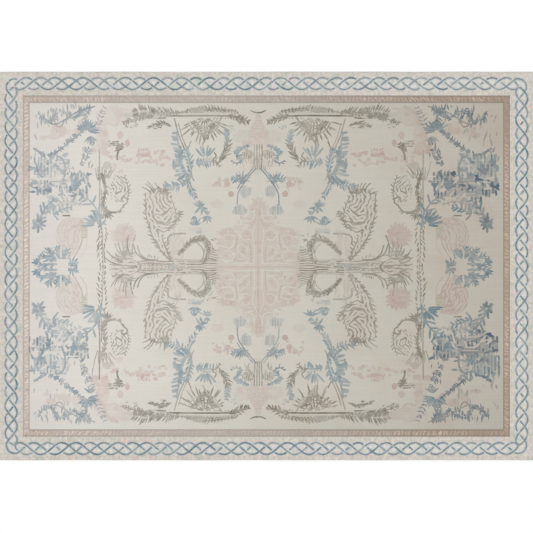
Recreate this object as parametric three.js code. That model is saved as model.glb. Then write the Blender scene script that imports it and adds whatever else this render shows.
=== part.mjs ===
// A flat rectangular rug, woven in one piece, lying at rest on a floor.
// Millimetres, +Z up. The origin is on the floor under the rug's middle, +X runs along its long side.
import * as THREE from "three";

const FOOT = 304.8;
const RUG_LENGTH = 11 * FOOT;
const RUG_WIDTH = 8 * FOOT;
const RUG_THICKNESS = 6;

// The selvedge turns over in a small round, and the corners are barely rounded.
const EDGE_ROUND = 2.5;
const EDGE_STEPS = 4;
const CORNER_RADIUS = 9;
const CORNER_STEPS = 6;

// Undyed and dyed wool together, seen from a step away.
const WOOL_COLOUR = 0xd0c9bd;
const WOOL_ROUGHNESS = 0.92;

// The rug's outline, drawn in from its true edge by the given amount on every side.
function rugOutline(inset) {
  const halfLength = RUG_LENGTH / 2 - inset;
  const halfWidth = RUG_WIDTH / 2 - inset;
  const radius = CORNER_RADIUS - inset;
  const outline = new THREE.Shape();
  outline.moveTo(halfLength - radius, -halfWidth);
  outline.absarc(halfLength - radius, -halfWidth + radius, radius, -Math.PI / 2, 0);
  outline.absarc(halfLength - radius, halfWidth - radius, radius, 0, Math.PI / 2);
  outline.absarc(-halfLength + radius, halfWidth - radius, radius, Math.PI / 2, Math.PI);
  outline.absarc(-halfLength + radius, -halfWidth + radius, radius, Math.PI, 1.5 * Math.PI);
  outline.closePath();
  return outline;
}

// The cloth is one flat solid: level faces above and below, with the round selvedge between them.
function rugCloth() {
  const geometry = new THREE.ExtrudeGeometry(rugOutline(EDGE_ROUND), {
    depth: RUG_THICKNESS - 2 * EDGE_ROUND,
    curveSegments: CORNER_STEPS,
    bevelEnabled: true,
    bevelThickness: EDGE_ROUND,
    bevelSize: EDGE_ROUND,
    bevelSegments: EDGE_STEPS,
  });
  geometry.translate(0, 0, EDGE_ROUND);
  return geometry;
}

const wool = new THREE.MeshStandardMaterial({
  color: WOOL_COLOUR,
  roughness: WOOL_ROUGHNESS,
  metalness: 0,
});

const cloth = new THREE.Mesh(rugCloth(), wool);
cloth.name = "rug";

const rug = new THREE.Group();
rug.add(cloth);

export default rug;
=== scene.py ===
import math
import random

import bpy
import numpy as np
from mathutils.geometry import delaunay_2d_cdt
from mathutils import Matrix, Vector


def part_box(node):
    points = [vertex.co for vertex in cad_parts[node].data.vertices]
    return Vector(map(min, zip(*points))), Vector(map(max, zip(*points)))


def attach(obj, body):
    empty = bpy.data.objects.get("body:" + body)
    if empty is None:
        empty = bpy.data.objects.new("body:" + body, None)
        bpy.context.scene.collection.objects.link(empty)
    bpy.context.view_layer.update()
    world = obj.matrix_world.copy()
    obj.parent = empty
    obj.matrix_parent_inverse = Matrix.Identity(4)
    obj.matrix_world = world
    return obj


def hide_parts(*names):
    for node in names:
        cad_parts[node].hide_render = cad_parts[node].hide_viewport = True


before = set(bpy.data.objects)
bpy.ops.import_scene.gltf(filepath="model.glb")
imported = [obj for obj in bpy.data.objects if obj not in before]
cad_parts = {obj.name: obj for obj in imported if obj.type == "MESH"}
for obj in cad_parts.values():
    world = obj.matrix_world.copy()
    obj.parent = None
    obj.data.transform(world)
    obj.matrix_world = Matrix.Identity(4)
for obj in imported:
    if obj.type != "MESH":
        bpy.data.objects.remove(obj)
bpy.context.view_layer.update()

# The cloth's real size comes from the frame, in metres.
HALF_LENGTH, HALF_WIDTH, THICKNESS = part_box("rug")[1]

# The pattern is drawn on a cartoon of squares, as a weaver's is.
# Borders are counted from the middle of the rug, and motifs from the middle of the medallion.
SQUARE = 0.00627
MIDDLE_X = -8.3
MIDDLE_Y = -0.9
EDGE_X = HALF_LENGTH / SQUARE
EDGE_Y = HALF_WIDTH / SQUARE

# Borders, in metres: from the rug's edge to the braid and to the guard, and the guard's two widths.
BRAID_INSET = 0.0738
GUARD_INSET = 0.1490
GUARD_WIDE_SIDES = 0.0420
GUARD_WIDE_ENDS = 0.0465

# In squares: a crossing of warp and weft, how closely the figures' outlines follow the crossings,
# and the step between points where the cloth has no figures. Outlines of fewer corners are left out.
CROSSING = 0.2
LOOSENESS = 0.13
CALM_STEP = 16.0
FEWEST_CORNERS = 9

# Dyes, each as the share of the ground wool's red, green and blue light that it leaves at full depth.
DYES = {
    "none": (1.0, 1.0, 1.0),
    "blue": (0.30, 0.45, 0.58),
    "indigo": (0.18, 0.31, 0.42),
    "slate": (0.24, 0.34, 0.46),
    "taupe": (0.31, 0.285, 0.255),
    "pink": (0.77, 0.57, 0.585),
    "olive": (0.66, 0.66, 0.55),
}
DYE_NAMES = list(DYES)
FULL_DEPTH = 10
DEEPEST = 12

# A yarn is one number: this many for each dye, and the depth on top.
DEPTHS = 16


# Curves and outlines, all in squares.

def curve(points, steps=5):
    """A smooth line through the given points."""
    p = np.asarray(points, float)
    if len(p) < 3:
        return p
    ends = np.vstack([2 * p[0] - p[1], p, 2 * p[-1] - p[-2]])
    share = np.linspace(0, 1, steps, endpoint=False)[:, None]
    parts = []
    for a, b, c, d in zip(ends, ends[1:], ends[2:], ends[3:]):
        cubic = -a + 3 * b - 3 * c + d
        square = 2 * a - 5 * b + 4 * c - d
        parts.append(0.5 * (2 * b + (c - a) * share + square * share**2 + cubic * share**3))
    return np.vstack(parts + [p[-1:]])


def sideways(path):
    """The unit vectors that stand to the left of each point of a line."""
    along = np.gradient(path, axis=0)
    along /= np.maximum(np.linalg.norm(along, axis=1, keepdims=True), 1e-9)
    return along[:, ::-1] * [-1, 1]


def ribbon(path, wide, end_wide=None):
    """The outline of a line that runs evenly from one width to another."""
    end_wide = wide if end_wide is None else end_wide
    half = np.linspace(wide, end_wide, len(path))[:, None] / 2
    side = sideways(path) * half
    return np.vstack([path + side, (path - side)[::-1]])


def ray(x, y, heading, reach):
    """The point that lies at a heading, in degrees, and a distance from a point."""
    turn = math.radians(heading)
    return x + reach * math.cos(turn), y + reach * math.sin(turn)


def aim(x, y, tip_x, tip_y):
    """The heading from one point to another, in degrees."""
    return math.degrees(math.atan2(tip_y - y, tip_x - x))


LEAF_PLACES = (0, 0.2, 0.45, 0.75, 0.93, 1)
LEAF_POINTED = (0.15, 0.8, 1.0, 0.6, 0.2, 0)
LEAF_BLUNT = (0.45, 0.85, 1.0, 1.0, 0.7, 0.25)


def almond(x, y, heading, long, wide, blunt=False):
    """A leaf from its foot at x, y, with a pointed or a blunt tip."""
    half = np.array(LEAF_BLUNT if blunt else LEAF_POINTED) * wide / 2
    turn = math.radians(heading)
    forward = np.array([math.cos(turn), math.sin(turn)])
    left = np.array([-forward[1], forward[0]])
    spine = np.array([x, y]) + np.array(LEAF_PLACES)[:, None] * long * forward
    side = half[:, None] * left
    return np.vstack([spine + side, (spine - side)[::-1]])


def lobed(x, y, wide, high, lobes, depth, phase=0.0):
    """A round outline with soft lobes."""
    turn = np.linspace(0, 2 * math.pi, max(12, lobes * 5), endpoint=False)
    reach = 1 + depth * np.sin(lobes * turn + phase)
    return np.stack([x + wide / 2 * reach * np.cos(turn), y + high / 2 * reach * np.sin(turn)], axis=1)


# The cloth as woven.

def within(points, xs, ys):
    """Which places of a grid lie inside an outline."""
    after = np.roll(points, -1, axis=0)
    ax, ay, bx, by = (values[:, None] for values in (*points.T, *after.T))
    crossed = (ys >= ay) != (ys >= by)
    at = ax + (ys - ay) * (bx - ax) / np.where(by == ay, 1, by - ay)
    return np.logical_xor.reduce(crossed[:, :, None] & (xs < at[:, :, None]), axis=0)


class Loom:
    """Rows of weft across columns of warp. The yarn of each crossing is a dye and a depth of dye."""

    def __init__(self):
        self.columns = np.arange(-EDGE_X + CROSSING / 2, EDGE_X, CROSSING)
        self.rows = np.arange(-EDGE_Y + CROSSING / 2, EDGE_Y, CROSSING)
        self.yarn = np.zeros((len(self.rows), len(self.columns)), np.uint8)

    def fill(self, outline, dye, depth, keep=None):
        """Dyes the inside of an outline. keep(x, y) can hold back some of it."""
        points = np.asarray(outline, float)
        low, high = points.min(0), points.max(0)
        columns = slice(*np.searchsorted(self.columns, (low[0], high[0])))
        rows = slice(*np.searchsorted(self.rows, (low[1], high[1])))
        xs, ys = self.columns[columns], self.rows[rows]
        if len(xs) and len(ys):
            inside = within(points, xs, ys)
            if keep is not None:
                inside &= keep(*np.meshgrid(xs, ys))
            self.yarn[rows, columns][inside] = DYE_NAMES.index(dye) * DEPTHS + depth

    def yarn_at(self, places):
        """The yarn of the crossing at each place."""
        column, row = ((places + [EDGE_X, EDGE_Y]) / CROSSING).astype(int).T
        high, wide = self.yarn.shape
        return self.yarn[np.clip(row, 0, high - 1), np.clip(column, 0, wide - 1)]


class Pen:
    """Draws motifs on the cartoon from the medallion's middle, mirrored and stretched along x and y."""

    def __init__(self, loom, along_x=1.0, along_y=1.0, lush=1.0, seed=0):
        self.loom = loom
        self.origin = np.array([MIDDLE_X, MIDDLE_Y])
        self.scale = np.array([along_x, along_y])
        self.lush = lush
        self.chance = random.Random(seed)

    def back(self, x, y):
        """The pen's own coordinates of places on the cartoon."""
        return (x - self.origin[0]) / self.scale[0], (y - self.origin[1]) / self.scale[1]

    def spread(self, amount):
        """A small random change, as a hand makes."""
        return self.chance.uniform(-amount, amount)

    def shade(self, depth):
        """A depth of dye near the asked one."""
        return max(1, min(DEEPEST, depth + self.chance.choice((-2, -1, 0, 0, 1))))

    def deeper(self, depth, gain):
        """A depth that grows with how lush this quarter is."""
        return depth + round(gain * (self.lush - 1))

    def fill(self, outline, dye, depth, keep=None):
        """Dyes the inside of an outline, or the part of it that keep(x, y) picks."""
        self.loom.fill(np.asarray(outline, float) * self.scale + self.origin, dye, min(depth, DEEPEST), keep)

    def line(self, points, wide, dye, depth, end_wide=None):
        """A smooth line of even or tapering width."""
        self.fill(ribbon(curve(points), wide, end_wide), dye, self.shade(depth))

    def leaf(self, x, y, heading, long, wide, dye, depth, blunt=False):
        """One leaf from its foot."""
        self.fill(almond(x, y, heading, long, wide, blunt), dye, self.shade(depth))


# The braid: three strands that cross in turn, all the way round.

# A strand swings from side to side once in a whole turn, and lies a third of a turn behind the next.
THIRD = 120
BRAID_SWING = 5.9
BRAID_WIDE = 1.6
BRAID_CORNER = 6.2
BRAID_STEP = 0.4
BRAID_TURNS_ENDS = 36
BRAID_TURNS_SIDES = 26

# Degrees of a turn that a strand is hidden where it goes under, and how often strands swap or touch.
BRAID_GAP = 11
BRAID_SWAPPED = 0.22
BRAID_TOUCHING = 0.22

# The halo that the blue has bled beside each strand, filled a few points at a time.
BLED_WIDE = 3.4
BLED_RUN = 60
BRAID_SEED = 5


def braid_path():
    """Points all round the braid's middle line, with the outward direction and the phase at each."""
    reach_x = EDGE_X - BRAID_INSET / SQUARE - BRAID_CORNER
    reach_y = EDGE_Y - BRAID_INSET / SQUARE - BRAID_CORNER
    arc = BRAID_CORNER * math.pi / 4
    points, outward, phase = [], [], []
    turned = 0
    corners = ((-1, 1, 90), (1, 1, 0), (1, -1, -90), (-1, -1, -180))
    for n, (side_x, side_y, heading) in enumerate(corners):
        next_x, next_y = corners[(n + 1) % 4][:2]
        start = np.array([side_x * reach_x, side_y * reach_y])
        end = np.array([next_x * reach_x, next_y * reach_y])
        straight = np.linalg.norm(end - start)
        thirds = BRAID_TURNS_ENDS if n % 2 == 0 else BRAID_TURNS_SIDES
        whole = straight + 2 * arc
        for s in np.arange(0, whole, BRAID_STEP):
            if s < arc:
                facing, middle = heading + 45 - 45 * s / arc, start
            elif s < arc + straight:
                facing, middle = heading, start + (end - start) * (s - arc) / straight
            else:
                facing, middle = heading - 45 * (s - arc - straight) / arc, end
            out = np.array(ray(0, 0, facing, 1))
            points.append(middle + out * BRAID_CORNER)
            outward.append(out)
            phase.append(THIRD * (turned + thirds * s / whole))
        turned += thirds
    return np.array(points), np.array(outward), np.array(phase)


SEAMS = (
    # from x, y to x, y, in squares from the middle of the rug
    (-229, 194, -229, 174),
    (-168, 178, -168, 171),
    (207, 194, 207, 174),
    (-207, -194, -207, -176),
    (229, -194, 229, -176),
    (-267, -156, -244, -156),
    (243, 157, 252, 157),
)


def weave_seams(loom):
    """Thin lines where the border was mended."""
    for x, y, end_x, end_y in SEAMS:
        loom.fill(ribbon(np.array([(x, y), (end_x, end_y)], float), 0.9), "slate", 3)


def weave_braid(loom):
    """Lays the halos first and the strands over them, with a gap where a strand goes under."""
    points, outward, phase = braid_path()
    chance = random.Random(BRAID_SEED)
    hidden = np.zeros((3, len(phase)), bool)
    for crossing in range(4 * (BRAID_TURNS_ENDS + BRAID_TURNS_SIDES) + 1):
        at = THIRD / 2 * crossing
        outer = crossing % 2 == 1
        under_rises = outer == (chance.random() < BRAID_SWAPPED)
        step = (THIRD / 2 if outer else THIRD) * (1 if under_rises else -1)
        strand = round((at + step) / THIRD) % 3
        gap = 0 if chance.random() < BRAID_TOUCHING else BRAID_GAP + chance.uniform(-3, 3)
        hidden[strand] |= np.abs(phase - at) < gap
    turns = [np.radians(phase - strand * THIRD + 90) for strand in range(3)]
    waves = [points + outward * (BRAID_SWING * np.sin(turn))[:, None] for turn in turns]
    for wave in waves:
        for start in range(0, len(wave), BLED_RUN):
            loom.fill(ribbon(wave[start:start + BLED_RUN + 3:2], BLED_WIDE), "blue", 2)
    for strand, wave in enumerate(waves):
        breaks = np.flatnonzero(np.diff(hidden[strand].astype(int))) + 1
        for start, end in zip([0, *breaks], [*breaks, len(phase)]):
            if not hidden[strand][start] and end - start > 3:
                wide = BRAID_WIDE + chance.uniform(-0.15, 0.2)
                loom.fill(ribbon(wave[start:end:2], wide), "indigo", chance.choice((8, 9, 9, 10)))


# Motifs, each drawn from a few leaves, lines, bars and hatchings of its own.

BOTH_SIDES = (1, -1)


def comb(pen, path, leaves, long, wide, dye, depth, lean, stem, sides=BOTH_SIDES, blunt=False):
    """A stem of some width with leaflets along it, longest in the middle, at an angle to the stem."""
    spine = curve(path, 8)
    if stem:
        pen.fill(ribbon(spine, stem, stem * 0.6), dye, pen.shade(depth))
    side = sideways(spine)
    for n in range(leaves):
        share = (n + 0.5) / leaves
        at = round(share * (len(spine) - 1))
        x, y = spine[at]
        ahead = aim(0, 0, side[at][1], -side[at][0])
        reach = long * (1.15 - 0.6 * abs(2 * share - 1))
        for one_side in sides:
            heading = ahead + one_side * (lean + pen.spread(10))
            pen.leaf(x, y, heading, reach * (1 + pen.spread(0.25)), wide, dye, depth, blunt)


def combs(pen, dye, rows):
    """Combs of one dye, drawn in turn. A row may end with the one side that has leaflets."""
    for path, leaves, long, wide, depth, lean, stem, *sides in rows:
        comb(pen, path, leaves, long, wide, dye, depth, lean, stem, sides or BOTH_SIDES)


def burst(pen, x, y, first, last, rays, inner, outer, wide, dye, depth, curl=None, blunt=False):
    """Leaves that spread from one spot between two headings, or bent lines if curl is given."""
    for n in range(rays):
        heading = first + (last - first) * (n + 0.5) / rays + pen.spread(4)
        reach = outer * (1 + pen.spread(0.2))
        foot = ray(x, y, heading, inner)
        if curl is None:
            pen.leaf(*foot, heading, reach - inner, wide, dye, depth, blunt)
        else:
            middle = ray(x, y, heading + curl * 0.35, (inner + reach) / 2)
            pen.line([foot, middle, ray(x, y, heading + curl, reach)], wide, dye, depth, wide * 0.6)


def fence(pen, x, y, wide, high, dye, depth, level=False, pitch=2.8, thick=1.9):
    """Upright or level bars of uneven length and depth, over a faint bed."""
    pen.fill(lobed(x, y, wide * 0.92, high * 0.92, 7, 0.12, pen.spread(3)), dye, max(1, depth - 6))
    across, along = (high, wide) if level else (wide, high)
    for n in range(round(across / pitch)):
        place = (n + 0.5) * pitch - across / 2 + pen.spread(0.3)
        start = -along / 2 * pen.chance.uniform(0.55, 1.0)
        while start < along * 0.4:
            end = min(start + along * pen.chance.uniform(0.2, 0.65), along * 0.5)
            ends = np.array([(place, start), (place + pen.spread(0.9), end)])
            bar = ends[:, ::-1] if level else ends
            broad = thick * pen.chance.uniform(0.65, 1.25)
            deep = pen.shade(depth + pen.chance.choice((-4, -1, 0, 0)))
            pen.fill(ribbon(bar + [x, y], broad, broad * 0.75), dye, deep)
            start = end + pen.chance.uniform(0.9, 2.2)


# Where the panels' growth starts, from which it spreads outwards on the lusher side.
PANEL_STEM = 165


def thicket(pen, x, y, wide, high, dye, depth, level):
    """A ragged block of foliage: bars, with leaves that grow out of it."""
    more = pen.lush - 1
    x += (x - PANEL_STEM) * more * 0.3
    wide, high = wide * (1 + more * 0.8), high * (1 + more * 0.6)
    depth = pen.deeper(depth, 8)
    fence(pen, x, y, wide, high, dye, depth, level, pitch=3.3, thick=2.2)
    for n in range(round((wide + high) / 5)):
        foot = ray(0, 0, pen.chance.uniform(0, 360), 0.48)
        upright = pen.chance.choice((90, 270, 0, 180)) + pen.spread(40)
        pen.leaf(x + foot[0] * wide, y + foot[1] * high, upright, 7, 2.8, dye, depth, n % 2 == 0)


def flow(pen, outline, veins, pitch, share, dye, depth):
    """Fills an outline with lines of uneven thickness that run along a few veins."""
    phase = pen.spread(0.5)
    spots = [curve(vein, 10) for vein in veins]

    def on_line(x, y):
        x, y = pen.back(x, y)
        u = x + 1.3 * np.sin(y * 0.33 + phase) + 0.5 * np.sin(y * 0.9 + x * 0.4)
        v = y + 1.3 * np.sin(x * 0.29 - phase) + 0.5 * np.sin(x * 0.8 - y * 0.5)
        near = np.full(x.shape, np.inf)
        for vein in spots:
            for a, b in vein:
                near = np.minimum(near, (u - a) ** 2 + (v - b) ** 2)
        uneven = share * (1 + 0.35 * np.sin(x * 0.45 + y * 0.3) * np.sin(y * 0.5 + phase))
        return (np.sqrt(near) / pitch + 0.25) % 1 < uneven

    pen.fill(outline, dye, depth, on_line)


def hatch(pen, outline, pitch, share, dye, depth, upright=False):
    """Fills an outline with rows of short, broken lines."""
    phase = pen.spread(3)

    def on_line(x, y):
        across, along = pen.back(x, y)[::1 if upright else -1]
        line = across / pitch + 0.16 * np.sin(along * 0.45 + phase)
        broken = np.sin(along * 0.62 + np.floor(line) * 2.4 + phase) > -0.8
        return (line % 1 < share) & broken

    pen.fill(outline, dye, depth, on_line)


def blossoms(pen, path, count, scatter, wide, high, dye, depth):
    """Small blocky blossoms strewn along a line."""
    spine = curve(path, 8)
    for n in range(count):
        x, y = spine[round((n + 0.5) / count * (len(spine) - 1))]
        w, h = wide * (1 + pen.spread(0.45)), high * (1 + pen.spread(0.35))
        x, y = x + pen.spread(scatter), y + pen.spread(scatter)
        pen.fill(lobed(x, y, w * 1.1, h * 1.15, 4, 0.12, pen.spread(2)), dye, pen.shade(depth))


def crumbs(pen, x, y, wide, high, count, long, dye, depth, heading=None, thick=1.5):
    """Small strokes strewn over a patch."""
    for n in range(count):
        away, turn = math.sqrt(pen.chance.random()) / 2, pen.chance.uniform(0, 360)
        foot = ray(0, 0, turn, away)
        ahead = turn + pen.spread(50) if heading is None else heading + pen.spread(18)
        reach = long * (1 + pen.spread(0.4))
        pen.leaf(x + foot[0] * wide, y + foot[1] * high, ahead, reach, thick, dye, depth)


# The quarters of the field. x runs outwards and y towards the ends, from the middle of the medallion.

PEONY_X = 135
PEONY_Y = 32
PEONY_WIDE = 26
PEONY_PETALS = 22


def peony(pen):
    """A soft round bloom with a ragged rim, deeper in the middle."""
    depth = pen.deeper(4, 8)
    for n in range(PEONY_PETALS):
        heading = n * 360 / PEONY_PETALS + pen.spread(6)
        foot = ray(PEONY_X, PEONY_Y, heading, 0.30 * PEONY_WIDE)
        pen.leaf(*foot, heading, PEONY_WIDE * pen.chance.uniform(0.16, 0.28), 3.2, "pink", depth)
    heart = 0.74 * PEONY_WIDE
    pen.fill(lobed(PEONY_X, PEONY_Y, heart, heart, 9, 0.08, pen.spread(3)), "pink", depth)
    for n in range(8):
        heading = pen.chance.uniform(0, 360)
        foot = ray(PEONY_X, PEONY_Y, heading, PEONY_WIDE * pen.chance.uniform(0.05, 0.28))
        patch = lobed(*foot, 5, 3.4, 5, 0.15, pen.spread(3))
        pen.fill(patch, "pink", depth + pen.chance.choice((-1, 1, 2)))


def leaf_spray(pen):
    """A tall blue spray: a lobed arm, a crescent of broad leaves, a plume and sprigs to both sides."""
    pen.line([(84, 149), (79, 131), (73, 117), (69, 112)], 1.3, "taupe", 8)
    pen.line([(80, 144), (76, 130), (71, 118)], 1.0, "taupe", 7)
    pen.line([(67, 126), (70, 119), (73, 114)], 1.3, "taupe", 8)
    comb(pen, [(79, 104), (79, 118), (82, 136)], 9, 7.5, 2.5, "blue", 7, 72, 2.6, (-1,), blunt=True)
    comb(pen, [(79, 102), (77, 110), (79, 120)], 4, 6, 3.2, "blue", 8, 28, 4.6)
    burst(pen, 84, 97, 72, 118, 2, 0, 11, 3.8, "blue", 7)
    comb(pen, [(67, 89), (73, 93), (77, 103)], 6, 11, 2.9, "blue", 8, 80, 6.0, (-1,), blunt=True)
    combs(pen, "blue", (
        # path, leaves, long, wide, depth, lean, stem, side
        (((70, 92), (75, 96), (78, 102)), 4, 8, 1.5, 3, 80, 0, -1),
        (((68, 94), (69, 106), (73, 119)), 9, 6.5, 2.0, 8, 46, 3.4, 1),
        (((69, 94), (70, 106), (74, 118)), 7, 5, 1.6, 9, 35, 1.2, -1),
    ))
    pen.line([(68, 97), (70, 107), (73, 116)], 0.8, "blue", 2)
    burst(pen, 62, 103, 100, 200, 4, 0, 7, 2.2, "blue", 8)
    pen.line([(67, 96), (66, 90), (64, 86)], 1.2, "slate", 7)
    pen.line([(67, 96), (68, 90), (69, 86)], 1.2, "taupe", 7)
    comb(pen, [(70, 87), (68, 80), (63, 70)], 6, 7, 2.2, "blue", 8, 30, 1.6)
    pen.line([(70, 85), (67, 78), (64, 72)], 0.8, "blue", 2)
    comb(pen, [(72, 86), (80, 82), (88, 80)], 6, 6.5, 1.8, "blue", 8, 62, 1.3)
    burst(pen, 89, 80, -70, 70, 4, 0, 7, 2.6, "blue", 8)
    burst(pen, 53, 107, 44, 136, 6, 4, 15, 2.1, "blue", 7, blunt=True)
    comb(pen, [(62, 104), (53, 106), (44, 105)], 6, 8, 2.0, "blue", 8, 70, 2.0, (1,))
    comb(pen, [(60, 106), (52, 108), (45, 107)], 5, 4.5, 1.6, "slate", 6, 60, 1.0, (-1,))
    comb(pen, [(47, 106), (42, 106), (38, 100)], 4, 5, 1.3, "taupe", 8, 50, 1.3)
    pen.line([(44, 115), (42, 111), (45, 108)], 1.3, "taupe", 8)
    comb(pen, [(39, 106), (34, 113), (29, 126)], 9, 8, 1.5, "taupe", 8, 32, 2.0)
    comb(pen, [(30, 122), (31, 130), (32, 138)], 5, 5, 2.3, "blue", 7, 44, 1.8)


def small_floret(pen):
    """A few small blue blooms between the medallion and the leaves, over a faint level patch."""
    comb(pen, [(59, 67), (58, 60), (55, 56)], 3, 7.5, 2.6, "blue", 8, 58, 2.4)
    burst(pen, 59, 60, 20, 160, 5, 0, 7.5, 2.4, "blue", 8)
    burst(pen, 51, 51, 190, 350, 5, 0, 8, 2.2, "blue", 8)
    burst(pen, 51, 52, 40, 140, 3, 0, 6, 2.2, "blue", 7)
    burst(pen, 64, 51, 210, 330, 3, 0, 6, 2.2, "blue", 8)
    burst(pen, 63, 41, 20, 160, 6, 1, 9, 2.0, "blue", 8)
    fence(pen, 62, 37, 16, 7, "blue", 4, level=True, thick=2.6)


ACANTHUS = (
    (113, 74), (112, 56), (109, 42), (106, 30), (99, 19), (89, 7), (86, 9), (94, 23),
    (99, 31), (91, 36), (84, 41), (82, 50), (86, 62), (89, 73), (97, 79), (105, 78),
)
ACANTHUS_VEINS = (
    ((111, 76), (109, 58), (106, 42), (101, 28), (92, 14)),
    ((97, 72), (98, 64), (93, 60)),
    ((86, 56), (92, 50), (100, 48)),
    ((86, 42), (93, 40), (101, 40)),
)


def acanthus(pen):
    """A tall curled leaf, engraved with flowing lines, on a long slanting stalk."""
    crumbs(pen, 82, 14, 16, 34, 30, 13, "pink", 3, 90, 2.6)
    outline = curve(ACANTHUS + ACANTHUS[:1], 3)
    pen.fill(outline, "pink", 1)
    deep = pen.deeper(6, 4)
    flow(pen, outline, ACANTHUS_VEINS, 3.7, 0.42, "taupe", deep)
    combs(pen, "taupe", (
        # path, leaves, long, wide, depth, lean, stem, side
        (((88, 6), (100, 20), (107, 34), (112, 52), (113, 74)), 17, 5.5, 1.3, deep + 1, 34, 1.4, -1),
        (((92, 36), (84, 42), (82, 52), (88, 72)), 10, 5.5, 1.3, deep, 40, 1.2, 1),
        (((88, 8), (93, 20), (97, 32)), 7, 5, 1.3, 7, 62, 1.3, 1),
    ))
    burst(pen, 101, 64, 48, 148, 8, 11, 21, 1.4, "taupe", 8, curl=-12)
    burst(pen, 94, 72, 10, 150, 7, 2, 8, 1.3, "taupe", 8, curl=22)
    comb(pen, [(85, 44), (79, 50), (77, 56)], 5, 4, 1.4, "taupe", 7, 50, 1.2)


HORN = ((80, 12), (74, 19), (66, 26), (57, 28), (51, 23), (50, 14))


def bracket(pen):
    """Bars and toothed arms that hold the medallion."""
    crumbs(pen, 60, 4, 40, 8, 24, 9, "pink", 3, 0, 2.0)
    for level, deep in ((0.8, 6), (3.1, 8), (5.5, 7), (7.4, 5)):
        pen.line([(38, level), (50, level + 0.7), (62, level - 0.5), (83, level + 0.3)], 1.2, "taupe", deep)
    fence(pen, 72, 3.5, 11, 7, "taupe", 7, level=True, pitch=2.2, thick=1.5)
    for n in range(5):
        start = (54 - n * 0.8, 7.5 + 2.4 * n)
        wave = [start, (48, start[1] + 1), (42, start[1] - 0.6), (36.5 + n * 0.8, start[1] + 0.8)]
        pen.line(wave, 1.3, "taupe", 7)
    crumbs(pen, 45, 18, 18, 4, 9, 3.5, "taupe", 5, 90, 1.3)
    pen.line([(58, 27), (53, 20), (52, 10), (56, 3)], 1.4, "taupe", 8)
    pen.line([(55, 28), (50.5, 20), (49.5, 11), (53, 4)], 1.2, "taupe", 6)
    pen.line([(61, 24), (56, 19), (54.5, 11), (58, 5)], 1.0, "taupe", 6)
    horn = ribbon(curve(HORN), 4, 9)
    pen.fill(horn, "taupe", 2)
    flow(pen, horn, (HORN,), 2.6, 0.45, "taupe", 7)
    comb(pen, HORN, 13, 5.5, 1.4, "taupe", 8, 38, 1.6)
    crumbs(pen, 50, 30, 12, 7, 9, 4.5, "taupe", 6)
    pen.line([(90, 22), (90, 30), (84, 33), (72, 33.5)], 1.5, "taupe", 7)
    crumbs(pen, 84, 31, 14, 4, 6, 3, "slate", 4, 90, 1.3)


PLUME_TIP = ((122, 5), (126, 14), (136, 17), (146, 11), (150, 0), (122, 0))
PLUME_TIP_VEINS = (((124, 2), (136, 6), (148, 4)), ((124, 8), (130, 12), (138, 14)))


def plume(pen):
    """A bundle of bars that opens through a ring and curls into a fringed palmette."""
    crumbs(pen, 100, 4, 44, 8, 22, 9, "pink", 3, 0, 2.0)
    deep = pen.deeper(7, 4)
    for level, depth in ((1.2, 5), (3.4, 7), (6.0, 6)):
        bar = [(84, level), (94, level - 0.6), (108, level + 0.6), (121, level * 0.8)]
        pen.line(bar, 1.2, "taupe", depth)
    for n in range(9):
        x = 84 + n * 4.1
        pen.line([(x, 0.6), (x + 2.2, 3.4)], 1.1, "taupe", 7)
        pen.line([(x + 2.2, 0.4), (x, 3.2)], 1.1, "taupe", 5)
    burst(pen, 85, 0, 20, 160, 5, 0, 4, 1.6, "blue", 5)
    pen.line([ray(123, 0, heading, 5) for heading in range(0, 181, 20)], 1.3, "taupe", 8)
    pen.fill(lobed(123, 0, 4, 4, 5, 0.1), "taupe", 7)
    pen.fill(PLUME_TIP, "pink", 2)
    flow(pen, PLUME_TIP, PLUME_TIP_VEINS, 3.4, 0.4, "taupe", deep - 1)
    burst(pen, 124, 1, 2, 84, 9, 12, 27, 1.4, "taupe", deep, curl=12)
    burst(pen, 132, 8, 20, 150, 8, 4, 12, 1.3, "taupe", deep - 2, curl=20)
    pen.line([(100, 7), (111, 8), (118, 13), (121, 22)], 1.4, "taupe", 8)
    pen.line([(104, 6), (114, 8), (122, 14), (125, 23)], 1.2, "taupe", 8)
    comb(pen, [(98, 8), (106, 9), (112, 10)], 5, 4, 1.3, "taupe", 6, 60, 0, (1,))


BOUGH_BED = ((84, 153), (62, 154), (22, 153), (14, 149), (24, 157), (48, 160), (66, 159))


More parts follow.
